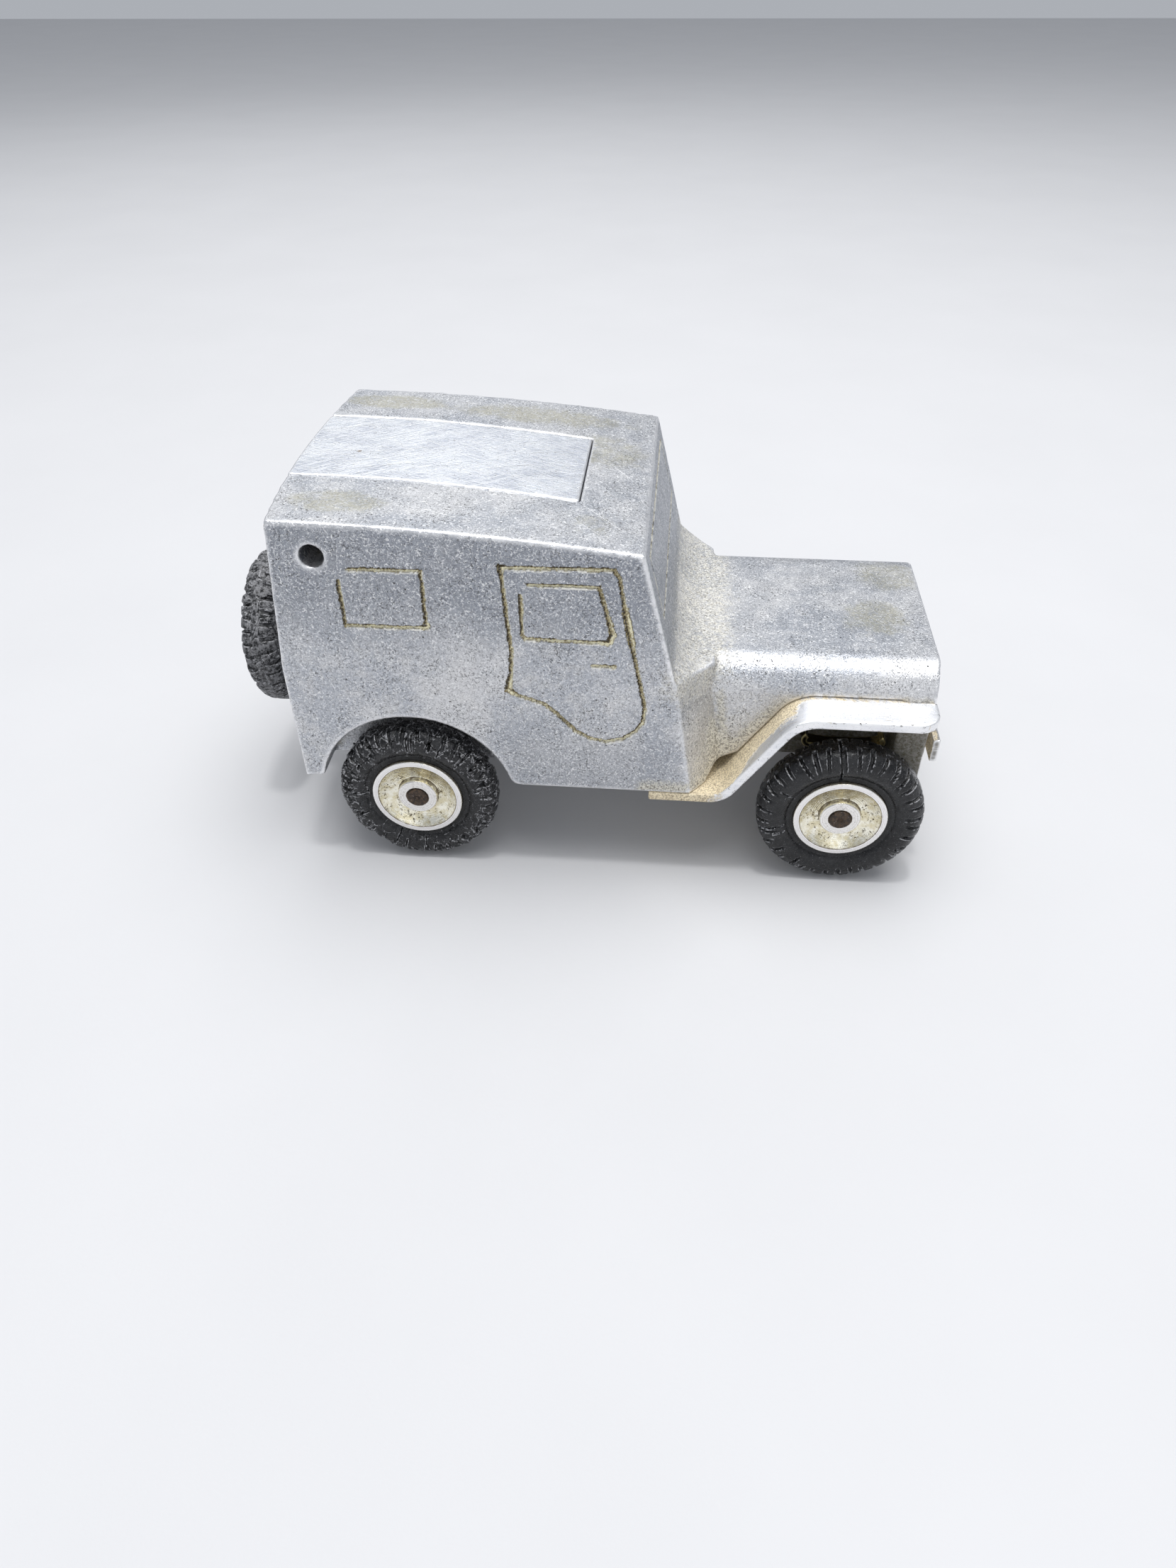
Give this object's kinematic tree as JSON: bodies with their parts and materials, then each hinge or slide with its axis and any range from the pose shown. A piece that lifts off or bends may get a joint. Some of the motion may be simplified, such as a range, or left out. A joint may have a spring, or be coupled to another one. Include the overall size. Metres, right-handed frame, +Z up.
{
  "type": "handmade toy utility car",
  "caption": "Handmade aluminium toy field car: block body with hard top, hinged roof flap, bent fenders, rubber-tyred wheels on turning axles and a rear spare.",
  "frame": {"origin": "on the ground, in the middle of the length and of the width", "axes": "+X towards the nose, +Y towards the car's left side, +Z up"},
  "size_m": [0.0993, 0.0464, 0.0538],
  "materials": {
    "body_aluminium": "hand-filed and aged, dull grey with dark specks and yellowish oxide, bright worn edges",
    "flap_aluminium": "brighter, with fine lengthwise and diagonal scratches",
    "fender_aluminium": "bright bent sheet, scuffed, with beige dirt in the bends",
    "hub_aluminium": "lathe-turned, bright rim, dish dulled to a speckled champagne tint",
    "tyre_rubber": "aged, hardened and cracked, satin where handled",
    "rusty_steel": "dark brown surface rust",
    "spring_brass": "tarnished"
  },
  "bodies": {
    "car": {"body_block": "body_aluminium", "flap_hinge_pin": "rusty_steel", "fender_right": "fender_aluminium", "fender_left": "fender_aluminium", "fender_rivets": "fender_aluminium", "front_bumper": "fender_aluminium", "bumper_rivets": "fender_aluminium", "front_bearing_right": "body_aluminium", "front_bearing_left": "body_aluminium", "rear_bearing_right": "body_aluminium", "rear_bearing_left": "body_aluminium", "bearing_screws": "rusty_steel", "front_spring_right": "spring_brass", "front_spring_left": "spring_brass", "spare_post": "rusty_steel", "spare_collar": "body_aluminium", "spare_hub": "hub_aluminium", "spare_tyre": "tyre_rubber"},
    "flap": {"roof_flap": "flap_aluminium"},
    "front_wheels": {"front_axle": "rusty_steel", "front_right_hub": "hub_aluminium", "front_left_hub": "hub_aluminium", "front_right_tyre": "tyre_rubber", "front_left_tyre": "tyre_rubber"},
    "rear_wheels": {"rear_axle": "rusty_steel", "rear_right_hub": "hub_aluminium", "rear_left_hub": "hub_aluminium", "rear_right_tyre": "tyre_rubber", "rear_left_tyre": "tyre_rubber"}
  },
  "joints": [
    {"name": "flap_hinge", "type": "hinge", "parent": "car", "child": "flap", "pos_m": [-0.03185, 0, 0.0492], "axis": [0, -1, 0], "range_deg": [0, 100]},
    {"name": "front_axle_spin", "type": "hinge", "parent": "car", "child": "front_wheels", "pos_m": [0.03715, 0, 0.0116], "axis": [0, 1, 0], "continuous": true},
    {"name": "rear_axle_spin", "type": "hinge", "parent": "car", "child": "rear_wheels", "pos_m": [-0.02285, 0, 0.0116], "axis": [0, 1, 0], "continuous": true}
  ]
}
